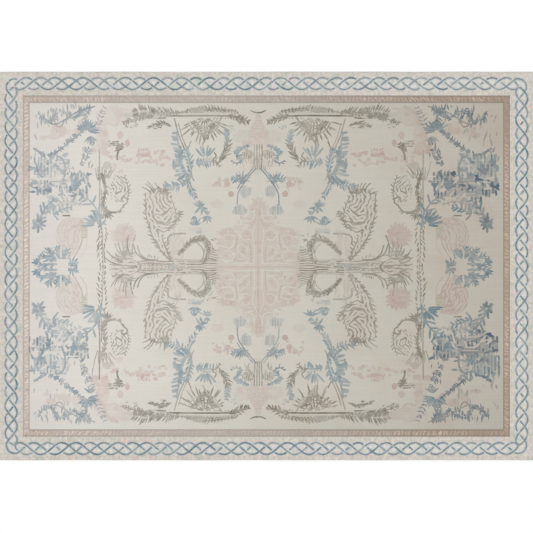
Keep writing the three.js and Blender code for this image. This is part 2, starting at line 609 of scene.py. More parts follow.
def pine_branch(pen):
    """A dark bough along the end of the field, bristling with needles."""
    stem = [(12, 147), (28, 151), (62, 151.5), (95, 151), (98, 149.5), (112, 149.5)]
    pen.line(stem, 1.9, "taupe", 10, 1.6)
    pen.line([(92, 149.4), (100, 149), (110, 149)], 1.6, "taupe", 10)
    pen.fill(curve(BOUGH_BED + BOUGH_BED[:1], 3), "taupe", 2)
    pen.fill(lobed(112, 152, 46, 7, 9, 0.1), "taupe", 2)
    comb(pen, [(20, 153), (44, 155), (70, 154)], 19, 5.5, 1.4, "taupe", 8, 58, 0, (1,))
    comb(pen, [(22, 156), (48, 159), (70, 157)], 17, 4.5, 1.4, "taupe", 8, 50, 1.1)
    pen.fill(lobed(60, 157, 15, 6, 5, 0.15), "taupe", 5)
    combs(pen, "taupe", (
        # path, leaves, long, wide, depth, lean, stem, side
        (((70, 156), (84, 154), (96, 153), (106, 155)), 13, 4, 1.3, 7, 52, 1.2),
        (((102, 155), (114, 156), (126, 154)), 13, 8, 1.5, 8, 66, 0),
        (((78, 154), (94, 155), (108, 153)), 14, 7, 1.6, 8, 60, 1.2, 1),
        (((104, 151), (118, 150), (136, 144)), 13, 5, 1.4, 8, 48, 1.3),
        (((30, 152), (20, 149), (9, 145)), 10, 6, 1.6, 9, 48, 2.0),
        (((18, 149), (40, 150), (60, 149)), 11, 3.4, 1.2, 7, 50, 0, -1),
        (((87, 141), (96, 144), (108, 141)), 8, 5, 1.7, 8, 26, 1.3),
    ))
    crumbs(pen, 98, 140, 22, 4, 8, 4, "taupe", 8, 10)
    crumbs(pen, 126, 143, 16, 8, 10, 4.5, "taupe", 6, 10)


def shrub(pen):
    """A spiky fan under the bough."""
    for rays, inner, outer in ((7, 3, 9), (11, 9, 17), (15, 17, 26)):
        burst(pen, 54, 150, 194, 346, rays, inner, outer, 1.7, "taupe", 8)
        pen.line([ray(54, 150, heading, inner) for heading in (196, 233, 270, 307, 344)], 1.0, "taupe", 6)
    comb(pen, [(68, 146), (60, 140), (54, 131)], 8, 6, 1.4, "taupe", 8, 38, 1.5)
    comb(pen, [(40, 146), (47, 140), (52, 129)], 8, 6, 1.4, "taupe", 8, 38, 1.3)
    pen.line([(36, 150), (42, 142), (50, 132), (56, 122)], 1.3, "taupe", 7)


def pink_garland(pen):
    """Pink dashes and blossoms in a row, and the pale steps in the corner of the field."""
    pen.fill(lobed(138, 132, 6.4, 8, 4, 0.08, 0.8), "pink", 5)
    pen.fill(lobed(131, 124, 5.0, 7.6, 4, 0.08, 0.8), "pink", 8)
    fence(pen, 115, 115, 14, 8, "pink", 8, pitch=2.6)
    pen.line([(122, 112), (114, 111.5), (108, 112)], 3.0, "pink", 8)
    blossoms(pen, [(106, 113), (98, 113), (92, 110)], 8, 3, 3.6, 2.6, "pink", 6)
    blossoms(pen, [(150, 108), (130, 109), (112, 106), (92, 105)], 30, 3.6, 3.4, 2.8, "pink", 5)
    blossoms(pen, [(146, 101), (138, 97)], 4, 2, 4, 4, "pink", 3)
    pen.fill(lobed(156, 130, 13, 36, 9, 0.1), "pink", 2)
    blossoms(pen, [(160, 146), (155, 130), (152, 113)], 14, 3.6, 6, 5, "pink", 4)
    pen.fill(lobed(146, 152, 32, 16, 9, 0.12), "pink", 2)
    blossoms(pen, [(152, 160), (140, 150), (132, 156)], 10, 4, 7, 3.2, "pink", 3)
    pen.line([(166, 118), (159, 124), (162, 136), (154, 144), (152, 154), (140, 161)], 3.4, "pink", 4)
    pen.line([(152, 144), (143, 142), (138, 148)], 2.6, "pink", 4)
    blossoms(pen, [(164, 116), (152, 115)], 4, 1, 6, 4.4, "pink", 6)
    blossoms(pen, [(172, 140), (190, 138), (214, 132)], 14, 5, 9, 5, "pink", 3)


def corner_sprig(pen):
    """A small dark sprig with level bars."""
    fence(pen, 144, 123, 13, 6, "taupe", 8, level=True, pitch=2.3, thick=1.5)
    comb(pen, [(141, 116), (139, 119), (135, 124)], 5, 4.5, 1.6, "taupe", 9, 58, 2.0)
    burst(pen, 139, 118, -40, 90, 5, 0, 5, 1.7, "taupe", 9)
    pen.line([(141, 107), (141, 112), (139, 118)], 1.8, "taupe", 9)


SCROLL_VEINS = (((144, 90), (136, 84), (134, 76), (140, 70)), ((146, 78), (143, 70), (138, 66)))


def side_stem(pen):
    """The upright stem that parts the side panel from the middle, with scrolls at its inner side."""
    pen.line([(159, 117), (158.6, 84), (159, 50)], 1.3, "taupe", 8)
    pen.line([(157, 78), (156.5, 64), (157.5, 50)], 1.0, "taupe", 7)
    combs(pen, "taupe", (
        # path, leaves, long, wide, depth, lean, stem, side
        (((161, 50), (158, 34), (159, 18), (157, 0)), 15, 6, 1.3, 8, 28, 0, 1),
        (((157, 52), (153, 36), (155, 18), (154, 0)), 14, 6, 1.3, 8, 24, 0, -1),
        (((159, 48), (156, 34), (156, 18), (155, 0)), 12, 4, 1.3, 8, 30, 1.0, 1),
    ))
    burst(pen, 158, 80, 62, 122, 5, 7, 24, 1.2, "taupe", 7, curl=6)
    burst(pen, 151, 84, 50, 120, 5, 5, 18, 1.2, "taupe", 6, curl=10)
    pen.fill(lobed(151, 102, 8, 8, 7, 0.15), "taupe", 3)
    combs(pen, "taupe", (
        # path, leaves, long, wide, depth, lean, stem, side
        (((157, 94), (153, 78), (155, 62), (152, 55)), 14, 5.5, 1.3, 8, 36, 2.6),
        (((152, 57), (146, 55), (139, 56), (134, 63)), 8, 3.6, 1.3, 8, 38, 2.0, 1),
    ))
    burst(pen, 152, 54, 170, 320, 6, 0, 8, 1.9, "taupe", 8)
    burst(pen, 152, 56, 20, 100, 4, 0, 6, 1.7, "taupe", 7)
    pen.line([(134, 62), (131, 65), (132, 69), (136, 69), (137, 65)], 1.4, "taupe", 8)
    outline = lobed(138, 78, 15, 28, 6, 0.10, 1.0)
    flow(pen, outline, SCROLL_VEINS, 3.2, 0.40, "taupe", 7)
    comb(pen, [(131, 66), (130, 78), (134, 92)], 8, 4, 1.2, "taupe", 7, 50, 1.0, (1,))
    comb(pen, [(146, 66), (146, 78), (142, 92)], 8, 4, 1.2, "taupe", 7, 40, 0, (-1,))


THORNS = ((225, 119), (213, 112), (202, 115), (188, 126), (177, 135), (170, 144))
THICKETS = (
    # middle x, middle y, wide, high, dye, depth, level
    (212, 100, 26, 22, "blue", 8, False),
    (196, 104, 12, 16, "blue", 6, True),
    (206, 85, 34, 8, "slate", 6, True),
    (215, 79, 18, 16, "slate", 9, False),
    (180, 88, 22, 14, "slate", 8, False),
    (186, 76, 32, 12, "slate", 8, False),
    (199, 71, 20, 8, "blue", 6, True),
)


def side_panel(pen):
    """Thorny branches, thickets and twigs at the outer side of the field."""
    deep = pen.deeper(7, 8)
    comb(pen, [(220, 156), (216, 148), (208, 146), (202, 154)], 9, 6, 1.4, "slate", deep, 35, 1.3)
    comb(pen, [(208, 144), (204, 150), (202, 158)], 6, 5, 1.3, "slate", deep, 25, 1.6)
    pen.line([(204, 150), (203, 143), (198, 140), (194, 146)], 1.2, "taupe", 7)
    comb(pen, [(185, 148), (178, 154), (168, 161)], 8, 6, 1.4, "slate", deep, 40, 1.8)
    burst(pen, 178, 152, 70, 120, 3, 0, 11, 2.2, "slate", 8)
    crumbs(pen, 205, 148, 36, 18, round(16 * pen.lush), 6.5, "slate", deep, 90)
    crumbs(pen, 185, 152, 30, 14, round(11 * pen.lush), 6.5, "slate", deep, 84)
    pen.line([(163, 161), (180, 156), (196, 146), (206, 143), (214, 149)], 1.3, "slate", 7)
    combs(pen, "slate", (
        # path, leaves, long, wide, depth, lean, stem
        (((164, 132), (159, 146), (153, 161)), 9, 4.5, 1.4, deep, 60, 0),
        (((167, 160), (173, 150), (170, 138)), round(7 * pen.lush), 6, 1.5, deep, 45, 1.4),
        (((183, 146), (190, 154), (200, 157)), round(5 * pen.lush), 5, 1.4, deep, 40, 1.3),
        (THORNS, 26, 3.6, 1.4, deep + 1, 70, 2.2),
    ))
    for x, y in ((214, 112), (203, 115), (190, 125), (183, 131), (177, 137)):
        pen.fill(lobed(x + pen.spread(2), y + pen.spread(2), 5.4, 3.8, 5, 0.2), "slate", 8)
    burst(pen, 171, 136, 20, 200, 11, 1, 12, 2.4, "blue", 9)
    burst(pen, 168, 131, 200, 330, 5, 0, 8, 2.0, "slate", 8)
    comb(pen, [(178, 100), (172, 112), (164, 128)], 12, 5, 1.7, "slate", deep, 55, 0)
    crumbs(pen, 171, 108, 12, 24, round(9 * pen.lush), 5, "slate", deep, 100)
    crumbs(pen, 190, 94, 26, 14, 14, 4.5, "slate", 5, 90)
    crumbs(pen, 210, 136, 46, 38, round(50 * pen.lush - 40), 6, "slate", 5, 80)
    crumbs(pen, 227, 96, 10, 60, round(50 * pen.lush - 46), 7, "slate", 6, 90, 2.0)
    for x, y, wide, high, dye, depth, level in THICKETS:
        thicket(pen, x, y, wide, high, dye, depth, level)
    crumbs(pen, 206, 88, 40, 52, 22, 9, "none", 0, None, 2.2)
    crumbs(pen, 184, 72, 34, 22, 10, 8, "none", 0, 60, 2.0)
    burst(pen, 184, 76, 70, 130, 3, 0, 15, 4.2, "blue", 9)
    inner_spray = [(157, 38), (159, 52), (168, 66), (178, 70)]
    comb(pen, inner_spray, 6, 9, 2.2, "blue", deep, 48, 2.0, blunt=True)
    burst(pen, 159, 42, -10, 84, 7, 5, 17, 2.4, "blue", deep + 1, blunt=True)
    outer_spray = [(226, 38), (218, 50), (212, 60), (204, 68)]
    comb(pen, outer_spray, 6, 9, 2.4, "blue", deep, 42, 2.4, blunt=True)
    burst(pen, 220, 43, 20, 330, 8, 1, 8, 2.6, "slate", deep, blunt=True)
    comb(pen, [(205, 52), (196, 58), (186, 60)], 5, 6, 2.0, "blue", deep, 50, 1.6, blunt=True)
    burst(pen, 219, 92, 60, 150, 3, 0, 12, 3.4, "slate", 8)
    comb(pen, [(176, 62), (192, 66), (204, 60), (218, 50)], 12, 5, 1.7, "slate", 5, 62, 1.2)
    pen.line([(202, 112), (195, 107), (193, 96), (196, 84)], 1.8, "slate", 7)
    pen.line([(203, 62), (205, 54), (200, 47)], 1.8, "blue", 8)


BOTEH = ((178, 49), (190, 50), (199, 44), (203, 32), (200, 18), (192, 8), (186, 11), (178, 26), (174, 40))
BOTEH_VEINS = (((189, 14), (188, 26), (184, 38)), ((196, 28), (195, 38), (191, 45)))


def netted_leaf(pen):
    """A pale leaf-shaped figure with a net of fine lines."""
    outline = curve(BOTEH + BOTEH[:1], 4)
    pen.fill(outline, "pink", 2)
    deep = pen.deeper(5, 9)
    flow(pen, outline, BOTEH_VEINS, 3.2, 0.32, "pink", deep)
    for n in range(14):
        x, y = 178 + 20 * pen.chance.random(), 14 + 32 * pen.chance.random()
        pen.line([(x, y), (x - 5, y + 4 + pen.spread(2))], 1.2, "pink", deep)
    pen.line([(178, 48), (175, 38), (177, 24), (184, 10)], 1.4, "pink", 7)
    pen.line([(176, 46), (172, 34), (172, 20), (178, 10)], 1.1, "pink", 5)
    pen.fill(almond(173, 28, 82, 22, 7.5), "olive", 4)
    hatch(pen, almond(173, 28, 82, 22, 7.0), 2.4, 0.45, "olive", 9)
    pen.line([(196, 51.5), (188, 51.5)], 1.6, "taupe", 9)


LOTUS_FRONDS = (
    # foot x, foot y, tip x, tip y
    (201, 3, 223, 3),
    (202, 6, 218, 12),
    (202, 7, 211, 18),
    (199, 8, 201, 20),
    (196, 8, 191, 17),
)


def lotus(pen):
    """Half of a fan-shaped flower on the middle line of the side panel."""
    for x, y, tip_x, tip_y in LOTUS_FRONDS:
        middle = ((x + tip_x) / 2 + 1, (y + tip_y) / 2 - 1)
        comb(pen, [(x, y), middle, (tip_x, tip_y)], 4, 7, 1.7, "blue", 9, 28, 1.9)
        pen.fill(almond(x, y, aim(x, y, tip_x, tip_y), 11, 2.8, True), "blue", 7)
    burst(pen, 220, 4, -10, 120, 4, 0, 7, 2.8, "blue", 10)
    burst(pen, 208, 12, 60, 170, 4, 1, 9, 1.3, "slate", 8)
    comb(pen, [(190, 1), (186, 4), (181, 3)], 5, 6, 2.0, "blue", 8, 60, 1.4)
    pen.line([(190, 8), (188, 14)], 1.4, "slate", 6)


def weave_quarter(loom, side, end, stretch_x, stretch_y, lush, seed):
    """Draws each motif of a quarter with a pen of its own."""
    motifs = (
        peony, pink_garland, leaf_spray, small_floret, acanthus, bracket, plume, pine_branch, shrub,
        corner_sprig, side_stem, netted_leaf, side_panel, lotus,
    )
    for number, motif in enumerate(motifs):
        motif(Pen(loom, side * stretch_x, end * stretch_y, lush, seed * 100 + number))


MEDALLION = (
    (0, 71), (2, 70), (5, 63), (9, 58), (9, 52), (15, 50), (16, 42), (22, 41), (24, 36), (36, 37),
    (37, 31), (40, 26), (37, 20), (41, 15), (38, 8), (41, 3), (41, 0), (0, 0),
)
MEDALLION_LIGHT = (
    ((4, 3), (4, 22), (6, 32), (3, 42), (0, 46)),
    ((3, 3.4), (18, 3.8), (34, 3)),
    ((36, 7), (28, 6), (24, 10), (27, 16), (35, 16)),
    ((8, 8), (14, 10), (20, 16), (19, 23), (12, 20), (8, 12)),
    ((38, 21), (28, 20), (24, 26), (24, 31), (33, 32), (34, 27), (29, 26)),
    ((8, 28), (14, 27), (18, 32), (13, 38), (8, 36)),
    ((0, 60), (4, 56), (4, 50), (8, 46), (14, 46)),
    ((20, 36), (19, 29), (23, 22), (30, 18)),
    ((30, 37), (30, 34)),
    ((36, 30), (40, 30)),
)
MEDALLION_PATCHES = (
    # middle x, middle y, wide, high, depth, whether its lines stand upright
    (30, 32, 16, 14, 5, True),
    (30, 20, 18, 9, 4, False),
    (29, 8, 20, 11, 4, True),
    (13, 12, 14, 12, 4, False),
    (12, 30, 12, 14, 5, True),
    (7, 44, 13, 12, 5, False),
    (3, 58, 9, 18, 5, False),
)
MEDALLION_DEEP = (
    ((0, 0), (0, 30), (0, 62)),
    ((0, 0), (20, 0), (38, 0)),
    ((7, 4), (7.5, 20), (9, 24)),
    ((12, 6), (24, 6.6), (22, 9)),
    ((12, 13), (15, 17), (15, 19)),
    ((30, 10), (33, 11.5), (30, 13)),
    ((28, 29), (31, 29)),
    ((2, 52), (2, 66)),
    ((9, 33), (13, 33)),
    ((24, 18), (21, 26), (21, 33)),
)


def medallion(pen):
    """A stepped cross with a fringe, filled with hatchings, pale scrolls and a few deep ones."""
    pen.fill(MEDALLION, "pink", 3)
    for n in range(14):
        pen.leaf(37, 1 + n * 2.6, pen.spread(12), 6, 1.8, "pink", 4)
        pen.leaf(23 + n, 34, 90 + pen.spread(10), 6, 1.6, "pink", 4)
        pen.leaf(22 - n * 1.5, 38 + n * 2.2, 40 + pen.spread(30), 5, 1.8, "pink", 4)
    for x, y, wide, high, depth, upright in MEDALLION_PATCHES:
        patch = lobed(x, y, wide, high, 4, 0.10, pen.spread(1))
        pen.fill(patch, "pink", depth - 1)
        hatch(pen, patch, 2.3, 0.45, "pink", depth, upright)
    crumbs(pen, 20, 18, 38, 34, 22, 5, "pink", 6, 90, 1.5)
    crumbs(pen, 19, 14, 30, 24, 9, 4, "taupe", 1, 0, 1.3)
    crumbs(pen, 20, 18, 38, 34, 18, 7, "none", 0, 0, 1.1)
    crumbs(pen, 8, 50, 10, 22, 8, 6, "none", 0, 0, 1.0)
    for light in MEDALLION_LIGHT:
        pen.fill(ribbon(curve(light), 1.4, 0.9), "none", 0)
    for deep in MEDALLION_DEEP:
        pen.fill(ribbon(curve(deep), 1.3, 1.0), "pink", pen.chance.choice((6, 7)))


def bell(pen, x, y, wide, high, flare):
    """A soft blue bell made of upright strokes that open towards one end."""
    for n in range(6):
        place = (n - 2.5) / 5
        reach = high / 2 * (1 - 0.8 * abs(place))
        start = (x + place * wide * (1 - flare), y + reach * pen.chance.uniform(0.6, 1.0))
        end = (x + place * wide * (1 + flare), y - reach * pen.chance.uniform(0.7, 1.1))
        pen.fill(ribbon(np.array([start, end]), 2.2), "blue", pen.chance.choice((2, 3, 4, 5)))
    for n in range(4):
        place = (n - 1.5) / 4
        pen.line([(x + place * wide, y + high * 0.3), (x + place * wide, y - high * 0.3)], 1.0, "slate", 5)


def centre_growth(pen):
    """Half of the stalk, stems, bells and blossoms above the medallion."""
    for x in (1.2, 3.8):
        pen.line([(x, 123), (x, 110), (x * 0.8, 97)], 1.0, "taupe", 8)
    pen.fill(lobed(10, 113, 11, 9, 6, 0.08), "taupe", 3)
    hatch(pen, lobed(10, 113, 12, 10, 6, 0.1), 2.2, 0.5, "taupe", 7, upright=True)
    crumbs(pen, 8, 103, 18, 12, 16, 7, "taupe", 5, 84, 1.1)
    comb(pen, [(13, 84), (19, 88), (26, 88)], 6, 6.5, 1.7, "blue", 9, 50, 1.4)
    burst(pen, 16, 87, 40, 200, 7, 1, 9, 1.5, "slate", 7)
    bell(pen, 12.5, 76, 9, 16, -0.1)
    bell(pen, 18.5, 57, 11, 14, 0.25)
    comb(pen, [(9, 122), (16, 119), (22, 116)], 6, 4.4, 1.8, "blue", 8, 40, 1.6)
    comb(pen, [(25, 116), (20, 112), (17, 106)], 5, 4.5, 1.5, "blue", 9, 48, 1.8)
    comb(pen, [(16, 106), (22, 104), (27, 107)], 4, 4, 1.4, "slate", 8, 50, 1.6, (-1,))
    blossoms(pen, [(28, 87), (36, 86), (44, 84)], 14, 3.2, 2.6, 2.2, "pink", 6)
    blossoms(pen, [(28, 76), (34, 81), (40, 88), (44, 78)], 14, 2.8, 2.2, 2.4, "pink", 6)
    pen.fill(lobed(31, 83, 6, 6, 5, 0.1), "pink", 8)
    pen.fill(lobed(27, 73, 6, 6, 5, 0.1), "pink", 9)
    pen.fill(lobed(41, 63, 14, 9, 5, 0.12), "pink", 2)
    pen.line([(2, 99), (8, 92), (15, 83), (20, 74), (21, 62)], 1.2, "slate", 8)
    pen.line([(5, 99), (11, 92), (17, 85), (21, 78)], 1.1, "slate", 7)


URN = ((0, 153), (3, 152), (3.6, 146), (7, 140), (11, 134), (10, 130), (5, 128), (0, 128))


def urn(pen):
    """Half of the pink urn at the end of the middle line, with its faint surround."""
    pen.fill(lobed(2, 104, 16, 20, 7, 0.12), "taupe", 1)
    pen.fill(lobed(12, 130, 26, 16, 7, 0.12), "pink", 2)
    crumbs(pen, 14, 127, 24, 14, 14, 7, "blue", 1, 90, 2.4)
    blossoms(pen, [(0, 124), (8, 122), (16, 128)], 9, 3, 5, 4, "pink", 3)
    pen.fill(URN, "pink", 3)
    hatch(pen, URN, 2.6, 0.4, "pink", 6)
    crumbs(pen, 5, 129, 12, 6, 8, 5, "pink", 4, 270, 2.0)
    pen.line([(0, 154.5), (4, 155), (8, 157)], 2.0, "taupe", 10, 0.9)
    crumbs(pen, 24, 139, 8, 5, 6, 4, "blue", 4, 10, 2.0)


MIDDLE_SEED = 60
MIDDLE_STRETCH = 0.97


def weave_middle(loom):
    """Draws the motifs on the rug's middle lines, one after another in all four quarters."""
    for number, motif in enumerate((medallion, urn, centre_growth)):
        for side in (-1, 1):
            for end in (1, -1):
                shorter = end < 0 and motif is not medallion
                tall = end * MIDDLE_STRETCH if shorter else end
                motif(Pen(loom, side, tall, seed=MIDDLE_SEED + 10 * number + side + 5 * end))


# The four quarters are drawn alike, each with its own stretch, and the right side grows lusher.

QUARTERS = (
    # side, end, stretch along x, stretch along y, lushness, seed
    (-1, 1, 1.0, 1.0, 1.0, 21),
    (1, 1, 1.04, 1.0, 1.25, 22),
    (-1, -1, 1.0, 0.965, 1.05, 23),
    (1, -1, 1.04, 0.965, 1.3, 24),
)


# From the woven crossings to a mesh.

UP, DOWN, LEFT, RIGHT = 1, 2, 4, 8
BACK = {UP: DOWN, DOWN: UP, LEFT: RIGHT, RIGHT: LEFT}


def figure_edges(yarn):
    """The lines between unlike yarns, each a chain of grid corners from one meeting to the next."""
    high, wide = yarn.shape
    corners = np.zeros((high + 1, wide + 1), np.uint8)
    upright = yarn[:, 1:] != yarn[:, :-1]
    level = yarn[1:] != yarn[:-1]
    corners[:-1, 1:-1] |= upright * np.uint8(DOWN)
    corners[1:, 1:-1] |= upright * np.uint8(UP)
    corners[1:-1, :-1] |= level * np.uint8(RIGHT)
    corners[1:-1, 1:] |= level * np.uint8(LEFT)
    count = np.unpackbits(corners.ravel()[:, None], axis=1).sum(axis=1)
    meetings = np.flatnonzero((count > 0) & (count != 2)).tolist()
    meets = set(meetings)
    plain = np.flatnonzero(count == 2).tolist()
    ways = bytearray(corners.tobytes())
    step = {UP: -(wide + 1), DOWN: wide + 1, LEFT: -1, RIGHT: 1}
    for first in meetings + plain:
        while ways[first]:
            way = ways[first] & -ways[first]
            spot = first
            chain = [spot]
            while way:
                ways[spot] &= ~way
                spot += step[way]
                ways[spot] &= ~BACK[way]
                chain.append(spot)
                way = 0 if spot in meets else ways[spot]
            row, column = np.divmod(np.array(chain), wide + 1)
            yield np.stack([column, row], axis=1) * CROSSING - [EDGE_X, EDGE_Y]


def eased(chain):
    """A chain without its stairs: the middles of its steps, each averaged with its neighbours."""
    middles = (chain[1:] + chain[:-1]) / 2
    closed = (chain[0] == chain[-1]).all()
    if closed:
        padded = np.concatenate([middles[-2:], middles, middles[:3]])
    else:
        padded = np.concatenate([chain[:1], chain[:1], middles, chain[-1:], chain[-1:]])
    smooth = sum(padded[k:len(padded) - 4 + k] for k in range(5)) / 5
    return smooth if closed else np.vstack([chain[:1], smooth, chain[-1:]])


def thinned(points):
    """Only the points of a line that its shape needs."""
    keep = [0, len(points) - 1]
    spans = [(0, len(points) - 1)]
    while spans:
        a, b = spans.pop()
        if b - a < 2:
            continue
        along = points[b] - points[a]
        off = points[a + 1:b] - points[a]
        reach = math.hypot(*along)
        if reach > CROSSING:
            gap = np.abs(off[:, 0] * along[1] - off[:, 1] * along[0]) / reach
        else:
            gap = np.hypot(off[:, 0], off[:, 1])
        far = int(gap.argmax())
        if gap[far] > LOOSENESS:
            keep.append(a + 1 + far)
            spans += [(a, a + 1 + far), (a + 1 + far, b)]
    return points[sorted(keep)]


CORNER_RADIUS = 0.009
CORNER_STEPS = 4
EDGE_ROUND = 0.0025
EDGE_STEP = 0.016
WAVE_HIGH = 0.0004
WANDER = 0.0012
CORNERS = (
    # side along x, side along y, heading where its arc starts
    (1, 1, 0),
    (-1, 1, 90),
    (-1, -1, 180),
    (1, -1, 270),
)
RIM_STEPS = (
    # share of the round, outward and down
    (0.0, 0.0),
    (0.7, 0.3),
    (1.0, 1.0),
    (1.0, 1.4),
    (0.7, 2.1),
    (0.0, 2.4),
)


def edge_ring():
    """Round the cloth where its flat face ends, in metres."""
    radius = CORNER_RADIUS - EDGE_ROUND
    reach_x, reach_y = HALF_LENGTH - CORNER_RADIUS, HALF_WIDTH - CORNER_RADIUS
    ring = []
    for side_x, side_y, heading in CORNERS:
        run = reach_y if heading % 180 else reach_x
        for k in range(CORNER_STEPS):
            ring.append(ray(side_x * reach_x, side_y * reach_y, heading + 90 * k / CORNER_STEPS, radius))
        start = np.array(ray(side_x * reach_x, side_y * reach_y, heading + 90, radius))
        ahead = np.array(ray(0, 0, heading + 180, 1))
        steps = round(2 * run / EDGE_STEP)
        ring += [start + ahead * 2 * run * k / steps for k in range(steps)]
    return np.array(ring)


def drawn_in(places):
    """Places on the cloth, moved as far as its edges wander from straight."""
    x, y = places.T
    pull_x = 0.5 + 0.25 * np.sin(y * 5.3 + np.where(x < 0, 0.4, 2.1)) + 0.25 * np.sin(y * 11.9 + 1.7)
    pull_y = 0.5 + 0.25 * np.sin(x * 5.3 + np.where(y < 0, 1.3, 3.2)) + 0.25 * np.sin(x * 11.9 + 3.1)
    moved_x = x * (1 - pull_x * WANDER / HALF_LENGTH)
    moved_y = y * (1 - pull_y * WANDER / HALF_WIDTH)
    return np.stack([moved_x, moved_y], axis=1)


def surface_height(x, y):
    """The upper face, with the faint unevenness of a woven cloth."""
    wave = np.sin(x * 3.1 + 0.7 * np.sin(y * 2.3)) + np.sin(y * 4.3 + 1.1 * np.sin(x * 1.7) + 0.6)
    return THICKNESS - 2 * WAVE_HIGH + wave * WAVE_HIGH


def filled(ring, lines):
    """Triangles over all that a ring encloses, along every given line: places, faces and the ring."""
    calm = CALM_STEP * SQUARE
    calm_x = np.arange(-HALF_LENGTH + calm, HALF_LENGTH, calm)
    calm_y = np.arange(-HALF_WIDTH + calm, HALF_WIDTH, calm)
    places = list(ring)
    edges = [(n, (n + 1) % len(ring)) for n in range(len(ring))]
    spots = {}
    for line in lines:
        before = None
        for place in line:
            key = (round(place[0], 7), round(place[1], 7))
            if key not in spots:
                spots[key] = len(places)
                places.append(key)
            if before is not None and before != spots[key]:
                edges.append((before, spots[key]))
            before = spots[key]
    inner_x, inner_y = HALF_LENGTH - calm / 2, HALF_WIDTH - calm / 2
    for x, y in zip(*(values.ravel() for values in np.meshgrid(calm_x, calm_y))):
        if abs(x) < inner_x and abs(y) < inner_y:
            places.append((x, y))
    flat, _, faces, origins, _, _ = delaunay_2d_cdt([tuple(p) for p in places], edges, [], 1, 1e-7)
    ring_at = {}
    for n, sources in enumerate(origins):
        for source in sources:
            if source < len(ring):
                ring_at[source] = n
    return np.array([tuple(p) for p in flat]), faces, [ring_at[n] for n in range(len(ring))]


def yarn_colour(yarn):
    """The share of light that a yarn leaves of the ground's."""
    tint = DYES[DYE_NAMES[yarn // DEPTHS]]
    share = yarn % DEPTHS / FULL_DEPTH
    return [1 + (t - 1) * share for t in tint] + [1.0]


def rug_mesh(loom):
    """The upper face with its figures, the rounded edge and the flat underside, as one closed mesh."""
    lines = []
    for chain in figure_edges(loom.yarn):
        if len(chain) > FEWEST_CORNERS:
            lines.append(thinned(eased(chain)) * SQUARE)
    ring = edge_ring()
    places, faces, ring_at = filled(ring, lines)
    middles = np.array([places[list(face)].mean(axis=0) for face in faces])
    yarn = loom.yarn_at(middles / SQUARE).tolist()
    moved = drawn_in(places)
    points = np.column_stack([moved, surface_height(*places.T)]).tolist()
    unrolled = moved.tolist()
    faces = [tuple(face) for face in faces]
    upper_count = len(faces)

    rim = moved[ring_at]
    around = np.roll(rim, -1, axis=0) - np.roll(rim, 1, axis=0)
    out = np.stack([around[:, 1], -around[:, 0]], axis=1)
    out /= np.linalg.norm(out, axis=1, keepdims=True)
    heights = np.array([points[n][2] for n in ring_at])
    deepest = RIM_STEPS[-1][1]
    above = ring_at
    travelled = 0.0
    for (before, down_before), (outward, down) in zip(RIM_STEPS, RIM_STEPS[1:]):
        travelled += math.hypot((outward - before) * EDGE_ROUND, (down - down_before) / deepest * THICKNESS)
        below = list(range(len(points), len(points) + len(rim)))
        at = rim + out * outward * EDGE_ROUND
        points += np.column_stack([at, heights * (1 - down / deepest)]).tolist()
        unrolled += (rim + out * travelled).tolist()
        for n in range(len(rim)):
            m = (n + 1) % len(rim)
            faces.append((above[m], above[n], below[n], below[m]))
        above = below

    under_first = len(faces)
    under, under_faces, under_ring = filled(rim, [])
    known = dict(zip(under_ring, above))
    for n, place in enumerate(under.tolist()):
        if n not in known:
            known[n] = len(points)
            points.append([*place, 0.0])
            unrolled.append(place)
    faces += [tuple(known[n] for n in face[::-1]) for face in under_faces]
    yarn += [0] * (len(faces) - upper_count)
    return points, faces, yarn, np.array(unrolled), under_first


# Where the upper face and the underside lie on the baked picture: x, y, wide, high.
BAKE_TOP = (0.01, 0.205, 0.98, 0.785)
BAKE_UNDER = (0.01, 0.01, 0.60, 0.17)
BAKE_MARGIN = 0.01


def rug_object(loom):
    """The rug with its yarns on the faces and its map for baking."""
    points, faces, yarn, unrolled, under_first = rug_mesh(loom)
    data = bpy.data.meshes.new("woven_rug")
    data.from_pydata(points, [], faces)
    colours = np.array([yarn_colour(n) for n in range(DEPTHS * len(DYE_NAMES))], np.float32)
    data.attributes.new("yarn", "FLOAT_COLOR", "FACE").data.foreach_set("color", colours[yarn].ravel())
    data.polygons.foreach_set("use_smooth", [True] * len(faces))
    share = (unrolled / [HALF_LENGTH + BAKE_MARGIN, HALF_WIDTH + BAKE_MARGIN] + 1) / 2
    corners = np.concatenate([np.array(face) for face in faces])
    sizes = np.array([len(face) for face in faces])
    under = np.repeat(np.arange(len(faces)) >= under_first, sizes)
    map_places = np.empty((len(corners), 2))
    for group, (x, y, wide, high) in ((~under, BAKE_TOP), (under, BAKE_UNDER)):
        map_places[group] = share[corners[group]] * [wide, high] + [x, y]
    data.uv_layers.new(name="OFBake").data.foreach_set("uv", map_places.astype(np.float32).ravel())
    rug = bpy.data.objects.new("woven_rug", data)
    bpy.context.collection.objects.link(rug)
    return rug


# The wool's finish.

